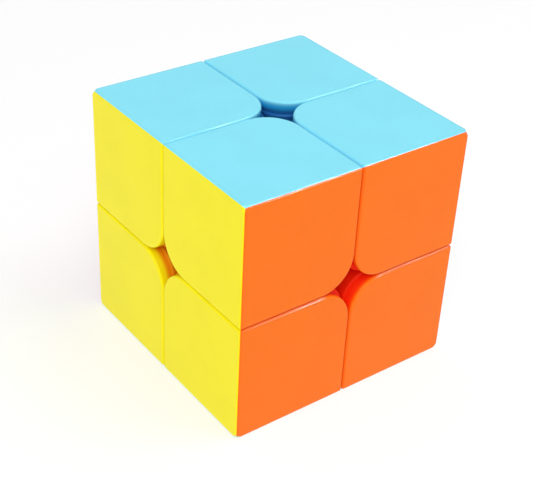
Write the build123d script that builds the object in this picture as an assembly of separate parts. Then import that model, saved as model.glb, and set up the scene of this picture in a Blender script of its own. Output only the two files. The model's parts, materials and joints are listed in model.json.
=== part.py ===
from build123d import *
import os
from math import sqrt

# A 2x2x2 twisty puzzle cube.  Eight corner pieces, each built from three coloured caps
# on a hidden foot, ride on twelve inner edges and six inner centres that are screwed,
# through springs, to a six-armed core.  Origin at the centre of the core, where the six
# turning axes meet.  +Z up, the front face looks along -Y, the right face along +X.

# overall size
CUBE = 50.0                    # edge length of the whole puzzle
HALF = CUBE / 2
BEYOND = CUBE                  # a distance well past every surface, for zones and cutters
SEAM_GAP = 0.2                 # width of the cut between two neighbouring corner pieces
CUT = SEAM_GAP / 2             # distance of every outer cut wall from the middle planes

# outer shape of one corner piece
HOLE_ROUND = 7.0               # rounding of the inner edges, four of them make one face hole
EDGE_ROUND = 0.5               # rounding of every other outside edge
VERTEX_ROUND = 2.2             # plan rounding of each face at the outermost vertex
VERTEX_SOFTEN = 0.25           # small rounding around that vertex
CAP_WALL = 1.8                 # thickness of a cap behind its face
SIDE_WALL = 1.5                # thickness of a cap along the cut walls
LIP_DEPTH = 2.5                # a lip stands into each face hole this far below the face
LIP_ROUND = 5.4                # smaller rounding of the inner edges from the lip inwards
LIP_SOFTEN = 0.3               # rounding of the lip itself

# concentric spheres and planes that separate the inner pieces
CLEAR = 0.12                   # clearance on each side of every sliding surface
R_OUTER = 18.5                 # below the corner blocks: outside of centres and edges
R_MIDDLE = 15.0                # between the plates and the feet under them
R_INNER = 11.5                 # inside of the feet
PLANE_OUTER = 7.0              # cut planes between R_MIDDLE and R_OUTER
PLANE_INNER = 4.5              # cut planes between R_INNER and R_MIDDLE
BRIDGE = 0.5                   # how far a plate and the foot under it run into each other

# foot of a corner piece
BASE_PLATE = 2.0               # thickness of the plate that closes the caps from below
POST_RADIUS = 3.2              # post on the diagonal that carries the three caps

# core, screws, springs
HUB_RADIUS = 6.0
ARM_RADIUS = 3.6
ARM_END = 7.8                  # height of the arm ends above the middle
STALK_END = 8.0                # lower end of each inner centre
SCREW_RADIUS = 1.5
SCREW_TIP = 3.2                # height of the screw's end above the middle
TIP_CHAMFER = 0.4
HEAD_RADIUS = 2.8
HEAD_BOTTOM = 15.35
HEAD_TOP = 17.05
HEAD_ROUND = 0.6
SLOT_LENGTH = 3.6              # cross recess in the screw head
SLOT_WIDTH = 0.6
SLOT_DEPTH = 0.9
BORE_RADIUS = 1.9              # free hole through the inner centre
POCKET_RADIUS = 3.7            # pocket for spring, washer and screw head
POCKET_FLOOR = 11.6
WASHER_RADIUS = 3.3
WASHER_HOLE = 1.6
WASHER_THICK = 0.5
SPRING_RADIUS = 2.6            # to the middle of the wire
SPRING_WIRE = 0.55
SPRING_TURNS = 3.5
SPRING_FOOT_GAP = 0.1          # left open between the wire and the pocket floor
SPRING_HEAD_GAP = 0.02         # left open between the wire and the washer
COVER_RADIUS = 4.6             # round cover that closes the pocket
COVER_SEAT = 17.2
COVER_CHAMFER = 0.2
PLATE_CORNER = 1.0             # rounding of the plate corners of an inner centre

SAME = 1e-4                    # two coordinates closer than this are the same

SIDES = {
    "right": (1, 0, 0),
    "left": (-1, 0, 0),
    "back": (0, 1, 0),
    "front": (0, -1, 0),
    "top": (0, 0, 1),
    "bottom": (0, 0, -1),
}
AXIS_SIDES = (("left", "right"), ("front", "back"), ("bottom", "top"))


def span_box(x0, x1, y0, y1, z0, z1):
    """Box given by its limits along the three axes."""
    middle = ((x0 + x1) / 2, (y0 + y1) / 2, (z0 + z1) / 2)
    return Pos(*middle) * Box(x1 - x0, y1 - y0, z1 - z0)


def octant_from(limit):
    """Everything with x, y and z all above the limit, out to well past the puzzle."""
    return span_box(limit, BEYOND, limit, BEYOND, limit, BEYOND)


def rod(radius, low, high):
    """Cylinder on the Z axis between two heights."""
    return Pos(0, 0, (low + high) / 2) * Cylinder(radius, high - low)


def shell(inner, outer):
    """Hollow ball between two radii."""
    return Sphere(outer) - Sphere(inner)


def near(value, target):
    return abs(value - target) < SAME


def rounded_octant(low, high, rounding):
    """Box from low to high on all axes, its three low edges rounded."""
    block = span_box(low, high, low, high, low, high)
    low_edges = []
    for edge in block.edges():
        middle = edge.center()
        at_low = [near(v, low) for v in (middle.X, middle.Y, middle.Z)]
        if sum(at_low) == 2:
            low_edges.append(edge)
    return fillet(low_edges, rounding)


def face_edges(block):
    """Edges around the three outside faces of a corner block."""
    chosen = []
    for edge in block.edges():
        box = edge.bounding_box()
        flat_x = near(box.min.X, HALF) and near(box.max.X, HALF)
        flat_y = near(box.min.Y, HALF) and near(box.max.Y, HALF)
        flat_z = near(box.min.Z, HALF) and near(box.max.Z, HALF)
        if flat_x or flat_y or flat_z:
            chosen.append(edge)
    return chosen


def vertex_tool():
    """Material taken off the outermost vertex so the faces end in a round corner."""
    start = HALF - VERTEX_ROUND
    ball = Pos(start, start, start) * Sphere(VERTEX_ROUND * sqrt(2))
    return octant_from(start) - ball


def vertex_edges(block):
    """Edges around the small ball patch at the outermost vertex."""
    patches = []
    for face in block.faces():
        middle = face.center()
        outermost = min(middle.X, middle.Y, middle.Z) > HALF - 2 * VERTEX_ROUND
        if face.geom_type == GeomType.SPHERE and outermost:
            patches.append(face)
    largest = max(patches, key=lambda face: face.area)
    return largest.edges()


def hole_lip():
    """Inner part of a corner block, whose inner edges are rounded less than its faces."""
    top = HALF - LIP_DEPTH
    lip = rounded_octant(CUT, top, LIP_ROUND)
    rims = []
    for edge in lip.edges().filter_by(GeomType.CIRCLE):
        middle = edge.center()
        if near(max(middle.X, middle.Y, middle.Z), top):
            rims.append(edge)
    return fillet(rims, LIP_SOFTEN)


def corner_block():
    """Outside shape of one corner piece, solid."""
    block = rounded_octant(CUT, HALF, HOLE_ROUND)
    block = fillet(face_edges(block), EDGE_ROUND)
    block = block - vertex_tool()
    block = fillet(vertex_edges(block), VERTEX_SOFTEN)
    return block + hole_lip() - Sphere(R_OUTER + CLEAR)


def corner_cavity():
    """Hollow inside the three caps of one corner piece."""
    return rounded_octant(CUT + SIDE_WALL, HALF - CAP_WALL, HOLE_ROUND - SIDE_WALL)


def mitre_wedge():
    """All points of the first octant that lie closer to the top face than to the others."""
    corners = [(0, 0, BEYOND), (BEYOND, 0, BEYOND), (BEYOND, BEYOND, BEYOND), (0, BEYOND, BEYOND)]
    lid = Face(Wire.make_polygon(corners, close=True))
    sides = []
    for i in range(4):
        a = corners[i]
        b = corners[(i + 1) % 4]
        sides.append(Face(Wire.make_polygon([(0, 0, 0), a, b], close=True)))
    return Solid(Shell([lid] + sides))


def corner_cap(block, cavity):
    """The cap of the first-octant corner that carries the top face."""
    return (block - cavity) & mitre_wedge()


def corner_foot(cavity):
    """Hidden carrier of the first-octant corner piece."""
    neck_zone = octant_from(PLANE_OUTER + CLEAR)
    foot_zone = octant_from(PLANE_INNER + CLEAR)
    base = cavity & shell(R_OUTER + CLEAR, R_OUTER + CLEAR + BASE_PLATE)
    neck = neck_zone & shell(R_MIDDLE - BRIDGE, R_OUTER + CLEAR + BASE_PLATE / 2)
    foot = foot_zone & shell(R_INNER + CLEAR, R_MIDDLE - CLEAR)
    diagonal = Plane(origin=(0, 0, 0), z_dir=(1, 1, 1))
    post = diagonal * rod(POST_RADIUS, 0, sqrt(3) * HALF)
    post = (post & cavity) - Sphere(R_OUTER + CLEAR + BASE_PLATE / 2)
    return base + neck + foot + post


def inner_edge():
    """Hidden edge piece between the top and back faces, hooked under two centres."""
    outer = PLANE_OUTER - CLEAR
    inner = PLANE_INNER - CLEAR
    plate_zone = span_box(-outer, outer, PLANE_OUTER + CLEAR, BEYOND, PLANE_OUTER + CLEAR, BEYOND)
    foot_zone = span_box(-inner, inner, PLANE_INNER + CLEAR, BEYOND, PLANE_INNER + CLEAR, BEYOND)
    plate = plate_zone & shell(R_MIDDLE + CLEAR, R_OUTER - CLEAR)
    foot = foot_zone & shell(R_INNER + CLEAR, R_MIDDLE - CLEAR)
    bridge = plate_zone & foot_zone & shell(R_MIDDLE - BRIDGE, R_MIDDLE + BRIDGE)
    return plate + bridge + foot


def inner_centre():
    """Hidden centre on the top axis, with stalk, spring pocket and screw bore."""
    outer = PLANE_OUTER - CLEAR
    inner = PLANE_INNER - CLEAR
    plate_zone = span_box(-outer, outer, -outer, outer, 0, BEYOND)
    plate_zone = fillet(plate_zone.edges().filter_by(Axis.Z), PLATE_CORNER)
    stalk_zone = span_box(-inner, inner, -inner, inner, STALK_END, BEYOND)
    plate = plate_zone & shell(R_MIDDLE + CLEAR, R_OUTER - CLEAR)
    stalk = stalk_zone & Sphere(R_MIDDLE + BRIDGE)
    body = plate + stalk
    body = body - rod(POCKET_RADIUS, POCKET_FLOOR, BEYOND)
    body = body - rod(COVER_RADIUS, COVER_SEAT, BEYOND)
    return body - rod(BORE_RADIUS, 0, BEYOND)


def centre_cover():
    """Round cover pressed into the pocket of an inner centre."""
    disc = rod(COVER_RADIUS, COVER_SEAT, BEYOND) & Sphere(R_OUTER - CLEAR)
    rim = disc.edges().group_by(Axis.Z)[0]
    return chamfer(rim, COVER_CHAMFER)


def core():
    """Hub with six arms, each bored for its screw."""
    body = Sphere(HUB_RADIUS)
    for direction in SIDES.values():
        body = body + pointed(rod(ARM_RADIUS, 0, ARM_END), direction)
    for direction in SIDES.values():
        body = body - pointed(rod(SCREW_RADIUS, SCREW_TIP, BEYOND), direction)
    return body


def screw():
    """Pan-head screw on the top axis, with a cross recess."""
    shank = rod(SCREW_RADIUS, SCREW_TIP, HEAD_BOTTOM)
    tip = shank.edges().group_by(Axis.Z)[0]
    shank = chamfer(tip, TIP_CHAMFER)
    head = rod(HEAD_RADIUS, HEAD_BOTTOM, HEAD_TOP)
    rim = head.edges().group_by(Axis.Z)[-1]
    head = fillet(rim, HEAD_ROUND)
    for turn in (0, 90):
        slot = Box(SLOT_LENGTH, SLOT_WIDTH, SLOT_DEPTH * 2)
        head = head - Pos(0, 0, HEAD_TOP) * Rot(0, 0, turn) * slot
    return shank + head


def washer():
    """Flat ring under the screw head."""
    bottom = HEAD_BOTTOM - WASHER_THICK
    return rod(WASHER_RADIUS, bottom, HEAD_BOTTOM) - rod(WASHER_HOLE, bottom, HEAD_BOTTOM)


def spring():
    """Coil spring between the pocket floor and the washer."""
    low = POCKET_FLOOR + SPRING_FOOT_GAP + SPRING_WIRE / 2
    high = HEAD_BOTTOM - WASHER_THICK - SPRING_HEAD_GAP - SPRING_WIRE / 2
    pitch = (high - low) / SPRING_TURNS
    path = Helix(pitch=pitch, height=high - low, radius=SPRING_RADIUS, center=(0, 0, low))
    start = Plane(origin=path @ 0, z_dir=path % 0)
    return sweep(start * Circle(SPRING_WIRE / 2), path=path, is_frenet=True)


def pointed(shape, direction):
    """Turn a shape made on the +Z axis so that it points along another axis."""
    x_dir = (0, 0, 1) if direction[2] == 0 else (1, 0, 0)
    return Plane(origin=(0, 0, 0), x_dir=x_dir, z_dir=direction).location * shape


def corner_place(signs, axis):
    """Rotation that takes the first octant and its top face to a corner and a face."""
    after = (axis + 1) % 3
    before = (axis + 2) % 3
    x_axis = after if signs[0] * signs[1] * signs[2] > 0 else before
    normal = [0, 0, 0]
    normal[axis] = signs[axis]
    x_dir = [0, 0, 0]
    x_dir[x_axis] = signs[x_axis]
    return Plane(origin=(0, 0, 0), x_dir=tuple(x_dir), z_dir=tuple(normal)).location


def side_name(axis, sign):
    return AXIS_SIDES[axis][1 if sign > 0 else 0]


def edge_place(free_axis, first_sign, second_sign):
    """Rotation that takes the top-back edge piece to another edge of the puzzle."""
    first = (free_axis + 1) % 3
    second = (free_axis + 2) % 3
    x_dir = [0, 0, 0]
    x_dir[free_axis] = first_sign * second_sign
    z_dir = [0, 0, 0]
    z_dir[second] = second_sign
    return Plane(origin=(0, 0, 0), x_dir=tuple(x_dir), z_dir=tuple(z_dir)).location


def save(shape, name):
    shape.label = name
    export_step(shape, os.path.join("parts", name + ".step"))


def main():
    os.makedirs("parts", exist_ok=True)
    block = corner_block()
    cavity = corner_cavity()
    cap = corner_cap(block, cavity)
    foot = corner_foot(cavity)
    for sx in (-1, 1):
        for sy in (-1, 1):
            for sz in (-1, 1):
                signs = (sx, sy, sz)
                corner = "_".join((side_name(2, sz), side_name(1, sy), side_name(0, sx)))
                save(corner_place(signs, 2) * foot, corner + "_foot")
                for axis in range(3):
                    cap_name = corner + "_cap_" + side_name(axis, signs[axis])
                    save(corner_place(signs, axis) * cap, cap_name)
    edge = inner_edge()
    for free_axis in range(3):
        first = (free_axis + 1) % 3
        second = (free_axis + 2) % 3
        for first_sign in (-1, 1):
            for second_sign in (-1, 1):
                names = {first: side_name(first, first_sign), second: side_name(second, second_sign)}
                ordered = [names[a] for a in (2, 1, 0) if a in names]
                place = edge_place(free_axis, first_sign, second_sign)
                save(place * edge, "edge_" + "_".join(ordered))
    centre = inner_centre()
    cover = centre_cover()
    for side, direction in SIDES.items():
        save(pointed(centre, direction), "centre_" + side)
        save(pointed(cover, direction), "cover_" + side)
    save(core(), "core")
    one_screw = screw()
    one_spring = spring()
    one_washer = washer()
    save(Compound([pointed(one_screw, d) for d in SIDES.values()]), "screws")
    save(Compound([pointed(one_spring, d) for d in SIDES.values()]), "springs")
    save(Compound([pointed(one_washer, d) for d in SIDES.values()]), "washers")


main()
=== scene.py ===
import json
import math

import bpy
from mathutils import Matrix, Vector


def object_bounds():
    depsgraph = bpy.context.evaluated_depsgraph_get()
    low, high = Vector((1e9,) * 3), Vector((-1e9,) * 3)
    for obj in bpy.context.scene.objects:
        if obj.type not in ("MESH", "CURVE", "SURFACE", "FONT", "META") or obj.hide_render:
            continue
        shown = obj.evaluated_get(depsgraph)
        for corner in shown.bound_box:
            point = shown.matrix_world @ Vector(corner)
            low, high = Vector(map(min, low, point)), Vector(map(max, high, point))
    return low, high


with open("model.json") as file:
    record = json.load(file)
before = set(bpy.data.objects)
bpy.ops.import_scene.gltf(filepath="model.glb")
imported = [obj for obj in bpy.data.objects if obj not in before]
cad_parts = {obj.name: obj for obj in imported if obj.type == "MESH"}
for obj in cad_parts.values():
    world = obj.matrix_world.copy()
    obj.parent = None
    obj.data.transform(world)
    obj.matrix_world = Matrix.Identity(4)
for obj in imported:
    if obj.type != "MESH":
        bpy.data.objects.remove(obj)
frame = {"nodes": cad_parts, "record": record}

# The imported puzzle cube, with moulded plastic, steel and a pale studio around it.
# Lengths are metres, in the frame of the CAD model: +Z up, front face towards -Y.

cad_low, cad_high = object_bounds()
nodes = frame["nodes"]
HALF = cad_high.z                       # half the cube's edge
MM = 0.001
WHITE = (1.0, 1.0, 1.0, 1.0)

# camera
CAMERA_AZIMUTH = -37.7                  # degrees, to the left of the front face
CAMERA_ELEVATION = 33.4                 # degrees above the horizon
CAMERA_ROLL = 2.9                       # degrees
CAMERA_DISTANCE = 9.33 * HALF
CAMERA_TARGET = Vector((-0.069, -0.039, -0.111)) * HALF
CAMERA_SENSOR = 36.0
CAMERA_LENS = 2.231 * CAMERA_SENSOR
CAMERA_CLIP = (0.01, 20.0)              # nearest and farthest distance that shows

# coloured caps: where the face hole, the cuts and the outside edges are, which get painted shade
HOLE_REACH = 7.2 * MM                   # the rounded walls of a face hole lie this near its axis
HOLE_SHADE_FADE = 1.6 * MM                    # over which the hole's painted shade ends on the face around it
WALL_SHADE_DEPTH = (0.15 * MM, 1.2 * MM)      # depth below the face where the painted shade of the wall comes in
BOTTOM_SHADE_DEPTH = (1.0 * MM, 2.2 * MM)     # depth where the darker painted shade of the bottom comes in
SEAM_SHADE_BAND = (0.25 * MM, 0.65 * MM)      # distance from the cuts over which their painted shade ends
EDGE_BAND = 0.9 * MM                    # width of the band along outside edges with painted shade, polished in patches
EDGE_CORE = 0.15 * MM                   # part of that band where its painted shade and polish are at full strength

# coloured caps: colour
CLOUD_SIZE = 11 * MM
CLOUD_RANGE = (0.35, 0.65)              # noise values between which the clouding changes
CLOUD_SHADES = (0.985, 1.01)            # factors on the face colour
GRAIN_SIZE = 0.5 * MM
GRAIN_RANGE = (0.2, 0.8)
GRAIN_TINT = 0.05                       # how much of the wall's painted-shade colour the grain takes
SEAM_SHADE = 0.18                        # the same for the painted shade in the seams
EDGE_SHADE = (0.08, 0.22)                # painted shade along outside edges, plain and in the polished patches

# coloured caps: gloss
CAP_ROUGHNESS = (0.12, 0.20)            # clean gloss, and the same with a smear on it
CAP_SPECULAR = 0.15
SMEAR_SIZE = 7 * MM
SMEAR_TURN = (0.5, 0.3, 0.9)
SMEAR_STRETCH = (1.0, 2.2, 1.4)
SMEAR_RANGE = (0.35, 0.7)
SCRATCH_ROUGHNESS = 0.06                # added on a hairline scratch
POLISH_ROUGHNESS = 0.04                 # taken off on a polished edge
HOLE_ROUGHNESS = 0.5                    # added down in the hole
# patches of the edges that are polished, which also carry more painted shade
POLISH_SIZE = 3.5 * MM
POLISH_RANGE = (0.42, 0.66)

# coloured caps: relief, as size, height and strength
WAVES = (9 * MM, 0.02 * MM, 0.25)
PEEL = (0.7 * MM, 0.006 * MM, 0.3)
SCRATCH_RELIEF = (0.0005 * MM, 0.5)     # height and strength

# hairline scratches
SCRATCH_TURNS = ((0.4, 0.9, 0.3), (1.7, 0.2, 1.1), (2.3, 1.3, 0.6), (0.9, 2.1, 2.6))
SCRATCH_STRETCH = (1.0, 40.0, 40.0)
SCRATCH_LENGTH = 8 * MM
SCRATCH_RANGE = (0.76, 0.80)            # only the peaks of the noise, so that few show
SCRATCH_WANDER = (12 * MM, 2 * MM)      # size of the slow curves, and how far they go
HANDLED_SIZE = 14 * MM                  # patches that are handled more hold the scratches
HANDLED_RANGE = (0.42, 0.62)

# axis that the face looks along, then the colours of face, painted shade on the hole wall and
# painted shade at the hole bottom
CAPS = {
    "light_blue": (2, (0.258, 0.785, 0.93), (0.024, 0.42, 0.80), (0.010, 0.115, 0.34)),
    "yellow": (0, (0.955, 0.85, 0.003), (0.97, 0.83, 0.003), (0.86, 0.30, 0.001)),
    "orange": (1, (0.96, 0.180, 0.004), (0.98, 0.036, 0.002), (0.96, 0.026, 0.001)),
    "red": (1, (0.66, 0.018, 0.018), (0.55, 0.008, 0.010), (0.36, 0.004, 0.006)),
    "white": (0, (0.86, 0.87, 0.87), (0.78, 0.80, 0.83), (0.62, 0.65, 0.70)),
    "green": (2, (0.035, 0.52, 0.09), (0.014, 0.40, 0.06), (0.006, 0.26, 0.04)),
}

# mechanism
INNER_COLOUR = (0.78, 0.78, 0.76)
INNER_CLOUD_SIZE = 6 * MM
INNER_CLOUD_RANGE = (0.3, 0.7)
INNER_SHADES = (0.93, 1.03)
INNER_ROUGHNESS = 0.55
INNER_RUB = 0.18                        # roughness lost where pieces slide
INNER_RUB_SIZE = 2.5 * MM
INNER_RUB_RANGE = (0.45, 0.7)
INNER_GRAIN = (0.25 * MM, 0.01 * MM, 0.5)
STEEL_COLOUR = (0.66, 0.66, 0.65)
STEEL_ROUGHNESS = 0.30
SPRING_COLOUR = (0.50, 0.50, 0.51)
SPRING_ROUGHNESS = 0.34
METAL_CLOUD_SIZE = 1.5 * MM
METAL_CLOUD_RANGE = (0.3, 0.7)
METAL_SHADES = (0.85, 1.1)
METAL_SMEAR = (-0.06, 0.10)             # change of roughness over the clouding
TURNING_TURN = (0.2, 0.7, 0.4)
TURNING_STRETCH = (1.0, 9.0, 9.0)
TURNING_MARKS = (0.8 * MM, 0.006 * MM, 0.5)

# studio: radiances are relative to a floor that shows as white
FLOOR_REACH = 3.0                       # half the side of the floor
FLOOR_GREY = 0.5
FLOOR_CLOUD_SIZE = 0.2
FLOOR_SHADES = (0.98, 1.02)
FLOOR_ROUGHNESS = 0.9
FLOOR_GLOW = (0.52, 0.76)               # beside the cube, and far from it
FLOOR_GLOW_REACH = (0.35, 1.5)          # distances from the cube where it starts and ends to rise
WORLD_STRENGTH = 0.45

# direction from the cube, distance, diameter and power of each round lamp
LAMPS = {
    "key": ((0.35, -0.30, 0.85), 0.9, 0.5, 2.4),
    "fill": ((-0.50, -0.45, 0.74), 1.2, 1.0, 7.6),
}
# direction, distance, width, height and power of the strips that glint along rounded edges
STRIPS = {
    "low_strip": ((0.52, -0.845, 0.125), 0.9, 0.06, 0.22, 5.0),
    "high_strip": ((0.545, -0.32, 0.775), 0.9, 0.04, 0.25, 8.5),
}

# ---------------------------------------------------------------- camera


def make_camera():
    """Look down at the cube's nearest upper corner, between the left and the front face."""
    azimuth = math.radians(CAMERA_AZIMUTH)
    elevation = math.radians(CAMERA_ELEVATION)
    back = Vector((
        math.sin(azimuth) * math.cos(elevation),
        -math.cos(azimuth) * math.cos(elevation),
        math.sin(elevation),
    ))
    data = bpy.data.cameras.new("camera")
    data.sensor_width = CAMERA_SENSOR
    data.lens = CAMERA_LENS
    data.clip_start = CAMERA_CLIP[0]
    data.clip_end = CAMERA_CLIP[1]
    camera = bpy.data.objects.new("camera", data)
    camera.location = CAMERA_TARGET + back * CAMERA_DISTANCE
    turn = (-back).to_track_quat("-Z", "Y").to_matrix()
    roll = math.radians(CAMERA_ROLL)
    right = turn.col[0] * math.cos(roll) + turn.col[1] * math.sin(roll)
    up = turn.col[1] * math.cos(roll) - turn.col[0] * math.sin(roll)
    turn.col[0] = right
    turn.col[1] = up
    camera.rotation_euler = turn.to_euler()
    bpy.context.scene.collection.objects.link(camera)
    bpy.context.scene.camera = camera


# ---------------------------------------------------------------- shader building blocks


class Shader:
    """A material's node tree, with short ways to add what the materials here share."""

    def __init__(self, name):
        self.material = bpy.data.materials.new(name)
        self.material.use_nodes = True
        self.tree = self.material.node_tree
        self.surface = self.tree.nodes["Principled BSDF"]

    def feed(self, value, socket):
        """Link a socket, or set a plain number or colour."""
        if isinstance(value, bpy.types.NodeSocket):
            self.tree.links.new(value, socket)
        else:
            socket.default_value = value

    def set(self, name, value):
        self.feed(value, self.surface.inputs[name])

    def place(self):
        """Position in the CAD frame, moving with the piece."""
        return self.tree.nodes.new("ShaderNodeTexCoord").outputs["Object"]

    def split(self, vector):
        node = self.tree.nodes.new("ShaderNodeSeparateXYZ")
        self.feed(vector, node.inputs[0])
        return node.outputs[0], node.outputs[1], node.outputs[2]

    def stretch(self, vector, turn, scale):
        """Turn and scale the position, for smears, scratches and turning marks."""
        node = self.tree.nodes.new("ShaderNodeMapping")
        self.feed(vector, node.inputs["Vector"])
        node.inputs["Rotation"].default_value = turn
        node.inputs["Scale"].default_value = scale
        return node.outputs[0]

    def wander(self, vector, size, reach):
        """Position shifted by slow noise, so that straight lines become slightly curved."""
        noise = self.tree.nodes.new("ShaderNodeTexNoise")
        self.feed(vector, noise.inputs["Vector"])
        noise.inputs["Scale"].default_value = 1 / size
        noise.inputs["Detail"].default_value = 1.0
        shift = self.tree.nodes.new("ShaderNodeVectorMath")
        shift.operation = "MULTIPLY_ADD"
        self.feed(noise.outputs["Color"], shift.inputs[0])
        shift.inputs[1].default_value = (reach, reach, reach)
        self.feed(vector, shift.inputs[2])
        return shift.outputs[0]

    def math(self, operation, a, b=0.0):
        node = self.tree.nodes.new("ShaderNodeMath")
        node.operation = operation
        self.feed(a, node.inputs[0])
        self.feed(b, node.inputs[1])
        return node.outputs[0]

    def length(self, a, b):
        """Length of a plane vector."""
        squares = self.math("ADD", self.math("MULTIPLY", a, a), self.math("MULTIPLY", b, b))
        return self.math("SQRT", squares)

    def ramp(self, value, low, high, start=0.0, end=1.0):
        """Smooth step from start to end while value goes from low to high."""
        node = self.tree.nodes.new("ShaderNodeMapRange")
        node.interpolation_type = "SMOOTHSTEP"
        self.feed(value, node.inputs["Value"])
        node.inputs["From Min"].default_value = low
        node.inputs["From Max"].default_value = high
        node.inputs["To Min"].default_value = start
        node.inputs["To Max"].default_value = end
        return node.outputs["Result"]

    def noise(self, vector, size, detail=2.0, roughness=0.5):
        """Noise whose blotches are about size metres across."""
        node = self.tree.nodes.new("ShaderNodeTexNoise")
        self.feed(vector, node.inputs["Vector"])
        node.inputs["Scale"].default_value = 1 / size
        node.inputs["Detail"].default_value = detail
        node.inputs["Roughness"].default_value = roughness
        return node.outputs["Fac"]

    def blend(self, factor, a, b):
        """Mix of two colours."""
        node = self.tree.nodes.new("ShaderNodeMix")
        node.data_type = "RGBA"
        self.feed(factor, node.inputs[0])
        self.feed(a, node.inputs[6])
        self.feed(b, node.inputs[7])
        return node.outputs[2]

    def bump(self, height, distance, strength, under=None):
        node = self.tree.nodes.new("ShaderNodeBump")
        self.feed(height, node.inputs["Height"])
        node.inputs["Distance"].default_value = distance
        node.inputs["Strength"].default_value = strength
        if under is not None:
            self.feed(under, node.inputs["Normal"])
        return node.outputs[0]


def rgba(colour, factor=1.0):
    return (*[min(1.0, c * factor) for c in colour], 1.0)


# ---------------------------------------------------------------- coloured caps


def hole_shade_masks(shader, coords, axis):
    """How far a point is down the wall of the face's hole, and how far down its bottom, where
    shade is painted.
    """
    across = [c for i, c in enumerate(coords) if i != axis]
    reach = shader.length(across[0], across[1])
    inside = shader.ramp(reach, HOLE_REACH, HOLE_REACH + HOLE_SHADE_FADE, 1.0, 0.0)
    depth = shader.math("SUBTRACT", HALF, coords[axis])
    wall_shade = shader.math("MULTIPLY", inside, shader.ramp(depth, *WALL_SHADE_DEPTH))
    bottom_shade = shader.math("MULTIPLY", inside, shader.ramp(depth, *BOTTOM_SHADE_DEPTH))
    return wall_shade, bottom_shade


def seam_shade_mask(shader, coords, axis):
    """Painted shade on the rounded edges and walls along the cuts between the corner pieces."""
    across = [c for i, c in enumerate(coords) if i != axis]
    nearest = shader.math("MINIMUM", across[0], across[1])
    return shader.ramp(nearest, *SEAM_SHADE_BAND, 1.0, 0.0)


def edge_masks(shader, place, coords):
    """Outside edges, where the second largest coordinate nears the half size, and the patches
    of them that are polished; both masks carry painted shade."""
    larger = shader.math("MAXIMUM", coords[0], coords[1])
    smaller = shader.math("MINIMUM", coords[0], coords[1])
    second = shader.math("MAXIMUM", smaller, shader.math("MINIMUM", coords[2], larger))
    edge = shader.ramp(second, HALF - EDGE_BAND, HALF - EDGE_CORE)
    patches = shader.noise(place, POLISH_SIZE, detail=4.0, roughness=0.6)
    patchy = shader.ramp(patches, *POLISH_RANGE)
    return edge, shader.math("MULTIPLY", edge, patchy)


def hairlines(shader, place):
    """Sparse fine scratches in a few directions, 1 on a scratch and 0 beside it."""
    curved = shader.wander(place, *SCRATCH_WANDER)
    total = 0.0
    for turn in SCRATCH_TURNS:
        drawn_out = shader.stretch(curved, turn, SCRATCH_STRETCH)
        lines = shader.noise(drawn_out, SCRATCH_LENGTH, detail=0.0)
        total = shader.math("MAXIMUM", total, shader.ramp(lines, *SCRATCH_RANGE))
    handled = shader.ramp(shader.noise(place, HANDLED_SIZE), *HANDLED_RANGE)
    return shader.math("MULTIPLY", total, handled)


def cap_colour(shader, place, face, wall_shade, seam_shade, edge, polish_and_shade):
    """Face colour with faint clouding and grain, and painted shade that makes it a little deeper
    at the seams and edges.
    """
    cloud = shader.ramp(shader.noise(place, CLOUD_SIZE, detail=3.0), *CLOUD_RANGE)
    grain = shader.ramp(shader.noise(place, GRAIN_SIZE), *GRAIN_RANGE, end=GRAIN_TINT)
    colour = shader.blend(cloud, rgba(face, CLOUD_SHADES[0]), rgba(face, CLOUD_SHADES[1]))
    colour = shader.blend(grain, colour, rgba(wall_shade))
    # painted shade darkens the colour in the cuts between the pieces
    colour = shader.blend(shader.math("MULTIPLY", seam_shade, SEAM_SHADE), colour, rgba(wall_shade))
    # painted shade along the outside edges, stronger on the polished patches
    plain_edge_shade = shader.math("MULTIPLY", edge, EDGE_SHADE[0])
    patch_edge_shade = shader.math("MULTIPLY", polish_and_shade, EDGE_SHADE[1] - EDGE_SHADE[0])
    return shader.blend(shader.math("ADD", plain_edge_shade, patch_edge_shade), colour, rgba(wall_shade))


def cap_roughness(shader, place, scratched, polish_and_shade, on_shaded_wall):
    """Gloss, duller on faint smears, on hairlines and down in the hole, clearer on edges."""
    smear_place = shader.stretch(place, SMEAR_TURN, SMEAR_STRETCH)
    smear = shader.noise(smear_place, SMEAR_SIZE, detail=4.0, roughness=0.6)
    rough = shader.ramp(smear, *SMEAR_RANGE, *CAP_ROUGHNESS)
    rough = shader.math("ADD", rough, shader.math("MULTIPLY", scratched, SCRATCH_ROUGHNESS))
    rough = shader.math("SUBTRACT", rough, shader.math("MULTIPLY", polish_and_shade, POLISH_ROUGHNESS))
    return shader.math("ADD", rough, shader.math("MULTIPLY", on_shaded_wall, HOLE_ROUGHNESS))


def cap_relief(shader, place, scratched):
    """Very slight moulding waves, a finer orange peel, and the scratches."""
    wave_size, wave_height, wave_strength = WAVES
    peel_size, peel_height, peel_strength = PEEL
    swell = shader.noise(place, wave_size, detail=1.0)
    waves = shader.bump(swell, wave_height, wave_strength)
    peel = shader.bump(shader.noise(place, peel_size), peel_height, peel_strength, under=waves)
    unscratched = shader.math("SUBTRACT", 1.0, scratched)
    return shader.bump(unscratched, *SCRATCH_RELIEF, under=peel)


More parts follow.
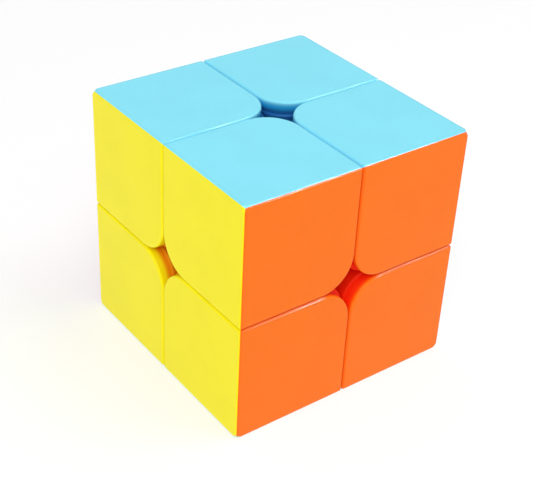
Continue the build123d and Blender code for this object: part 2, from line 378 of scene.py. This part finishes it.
def cap_plastic(name, axis, face, wall_shade, bottom_shade):
    """Gloss plastic coloured through, with painted shade: darker, deeper colour down in its
    face's hole.
    """
    shader = Shader(name)
    place = shader.place()
    coords = [shader.math("ABSOLUTE", c) for c in shader.split(place)]
    on_shaded_wall, on_shaded_bottom = hole_shade_masks(shader, coords, axis)
    seam_shade = seam_shade_mask(shader, coords, axis)
    edge, polish_and_shade = edge_masks(shader, place, coords)
    scratched = hairlines(shader, place)

    colour = cap_colour(shader, place, face, wall_shade, seam_shade, edge, polish_and_shade)
    # painted shade: the wall and bottom colours darken the face colour down in the hole
    colour = shader.blend(on_shaded_wall, colour, rgba(wall_shade))
    shader.set("Base Color", shader.blend(on_shaded_bottom, colour, rgba(bottom_shade)))
    shader.set("Roughness", cap_roughness(shader, place, scratched, polish_and_shade, on_shaded_wall))
    shader.set("Specular IOR Level", CAP_SPECULAR)
    shader.set("Normal", cap_relief(shader, place, scratched))
    return shader.material


# ---------------------------------------------------------------- mechanism


def inner_plastic(name, colour):
    """Matte off-white plastic, rubbed smoother in patches where pieces slide."""
    shader = Shader(name)
    place = shader.place()
    cloud = shader.noise(place, INNER_CLOUD_SIZE, detail=4.0)
    dark, light = [rgba(colour, shade) for shade in INNER_SHADES]
    shader.set("Base Color", shader.blend(shader.ramp(cloud, *INNER_CLOUD_RANGE), dark, light))
    patches = shader.noise(place, INNER_RUB_SIZE, detail=3.0, roughness=0.6)
    rub = shader.math("MULTIPLY", shader.ramp(patches, *INNER_RUB_RANGE), INNER_RUB)
    shader.set("Roughness", shader.math("SUBTRACT", INNER_ROUGHNESS, rub))
    grain_size, grain_height, grain_strength = INNER_GRAIN
    grain = shader.noise(place, grain_size)
    shader.set("Normal", shader.bump(grain, grain_height, grain_strength))
    return shader.material


def steel(name, colour, roughness):
    """Plated steel with fine turning marks."""
    shader = Shader(name)
    place = shader.place()
    cloud = shader.noise(place, METAL_CLOUD_SIZE, detail=4.0, roughness=0.6)
    dark, light = [rgba(colour, shade) for shade in METAL_SHADES]
    shader.set("Base Color", shader.blend(cloud, dark, light))
    shader.set("Metallic", 1.0)
    smooth, dull = [roughness + change for change in METAL_SMEAR]
    shader.set("Roughness", shader.ramp(cloud, *METAL_CLOUD_RANGE, smooth, dull))
    mark_size, mark_height, mark_strength = TURNING_MARKS
    turned = shader.stretch(place, TURNING_TURN, TURNING_STRETCH)
    marks = shader.noise(turned, mark_size, detail=3.0)
    shader.set("Normal", shader.bump(marks, mark_height, mark_strength))
    return shader.material


# ---------------------------------------------------------------- dressing the CAD nodes


def make_materials():
    """One material for each of the record's material slots."""
    made = {}
    for slot, choice in CAPS.items():
        made[slot] = cap_plastic("moulded_" + slot, *choice)
    made["inner_plastic"] = inner_plastic("moulded_inner", INNER_COLOUR)
    made["steel"] = steel("plated_steel", STEEL_COLOUR, STEEL_ROUGHNESS)
    made["spring_steel"] = steel("spring_wire", SPRING_COLOUR, SPRING_ROUGHNESS)
    return made


def dress_nodes():
    """Give every CAD node the material of its slot."""
    made = make_materials()
    for entry in frame["record"]["subparts"]:
        mesh = nodes[entry["node"]].data
        mesh.materials.clear()
        mesh.materials.append(made[entry["material_slot"]])


# ---------------------------------------------------------------- studio


def floor_paint():
    """Pale paint that glows a little, and more so where the lamps no longer reach."""
    shader = Shader("pale_floor")
    place = shader.place()
    grey = (FLOOR_GREY, FLOOR_GREY, FLOOR_GREY)
    cloud = shader.noise(place, FLOOR_CLOUD_SIZE, detail=3.0)
    dark, light = [rgba(grey, shade) for shade in FLOOR_SHADES]
    shader.set("Base Color", shader.blend(cloud, dark, light))
    shader.set("Roughness", FLOOR_ROUGHNESS)
    shader.set("Specular IOR Level", 0.0)
    shader.set("Emission Color", WHITE)
    x, y, _ = shader.split(place)
    far = shader.length(x, y)
    shader.set("Emission Strength", shader.ramp(far, *FLOOR_GLOW_REACH, *FLOOR_GLOW))
    return shader.material


def make_floor():
    mesh = bpy.data.meshes.new("floor")
    corners = [(-1, -1), (1, -1), (1, 1), (-1, 1)]
    ring = [(x * FLOOR_REACH, y * FLOOR_REACH, -HALF) for x, y in corners]
    mesh.from_pydata(ring, [], [(0, 1, 2, 3)])
    mesh.materials.append(floor_paint())
    floor = bpy.data.objects.new("floor", mesh)
    bpy.context.scene.collection.objects.link(floor)


def aim_lamp(name, data, direction, distance):
    """Hang a lamp at a distance from the cube and point it at the cube's middle."""
    lamp = bpy.data.objects.new(name, data)
    away = Vector(direction).normalized()
    lamp.location = away * distance
    lamp.rotation_euler = (-away).to_track_quat("-Z", "Y").to_euler()
    bpy.context.scene.collection.objects.link(lamp)
    return lamp


def make_lamp(name, direction, distance, diameter, power):
    data = bpy.data.lights.new(name, "AREA")
    data.shape = "DISK"
    data.size = diameter
    data.energy = power
    aim_lamp(name, data, direction, distance)


def make_strip(name, direction, distance, width, height, power):
    """Tall narrow softbox that only shows as a reflection."""
    data = bpy.data.lights.new(name, "AREA")
    data.shape = "RECTANGLE"
    data.size = width
    data.size_y = height
    data.energy = power
    lamp = aim_lamp(name, data, direction, distance)
    lamp.visible_diffuse = False
    lamp.visible_camera = False


def make_world():
    world = bpy.data.worlds.new("studio")
    bpy.context.scene.world = world
    world.use_nodes = True
    background = world.node_tree.nodes["Background"]
    background.inputs["Color"].default_value = WHITE
    background.inputs["Strength"].default_value = WORLD_STRENGTH


def make_studio():
    make_floor()
    for name, choice in LAMPS.items():
        make_lamp(name, *choice)
    for name, choice in STRIPS.items():
        make_strip(name, *choice)
    make_world()
    bpy.context.scene.view_settings.view_transform = "Standard"


make_camera()
dress_nodes()
make_studio()
